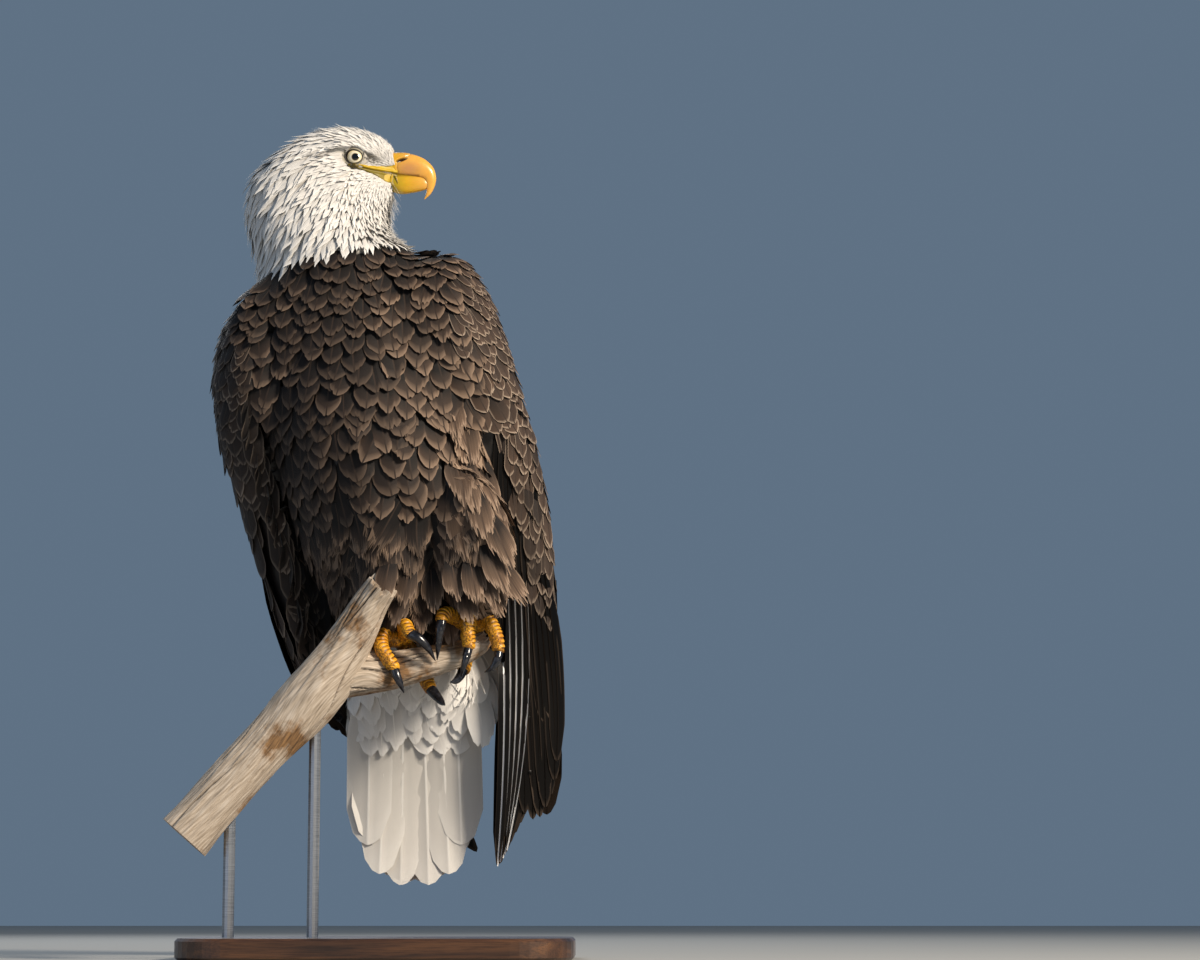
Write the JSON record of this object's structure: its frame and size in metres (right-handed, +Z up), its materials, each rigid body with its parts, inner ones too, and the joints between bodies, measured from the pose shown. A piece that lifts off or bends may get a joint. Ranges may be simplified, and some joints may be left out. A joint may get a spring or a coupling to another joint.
{
  "type": "bald eagle display model",
  "caption": "Life-size still bald eagle perched on a short dead branch, head turned to its left, held by a flat base and short rods.",
  "frame": {"origin": "centre of the flat underside of the stand base", "axes": "+Z up, -Y the way the bird faces, +X the way its head is turned (its own left)"},
  "size_m": [0.4165, 0.29, 0.8684],
  "materials": {
    "white_feathers": "white contour feathers, dry and matt with a soft silky sheen",
    "brown_feathers": "dark brown contour feathers with paler brown tips, matt",
    "flight_feathers": "blackish brown flight feathers with pale shafts, slightly sheeny",
    "bill_horn": "smooth satin keratin, deep yellow",
    "eye": "wet glossy eye, pale straw iris and black pupil",
    "toe_skin": "scaly bare skin, orange yellow, slightly rough",
    "claw_horn": "smooth glossy black horn",
    "branch_wood": "weathered barkless grey wood with brown fibrous patches",
    "base_wood": "dark stained hardwood, satin varnish",
    "rod_steel": "satin brushed steel rod"
  },
  "bodies": {
    "root": {"head": "white_feathers", "neck": "white_feathers", "trunk": "brown_feathers", "tail": "white_feathers", "wing_left": "brown_feathers", "wing_right": "brown_feathers", "wingtip_left": "flight_feathers", "wingtip_right": "flight_feathers", "thigh_left": "brown_feathers", "thigh_right": "brown_feathers", "foot_left": "toe_skin", "foot_right": "toe_skin", "bill_upper": "bill_horn", "bill_lower": "bill_horn", "eye_left": "eye", "eye_right": "eye", "perch": "branch_wood", "stand_base": "base_wood", "stand_rod_1": "rod_steel", "stand_rod_2": "rod_steel", "claw_left_1": "claw_horn", "claw_left_2": "claw_horn", "claw_left_3": "claw_horn", "claw_left_4": "claw_horn", "claw_right_1": "claw_horn", "claw_right_2": "claw_horn", "claw_right_3": "claw_horn", "claw_right_4": "claw_horn"}
  },
  "joints": []
}
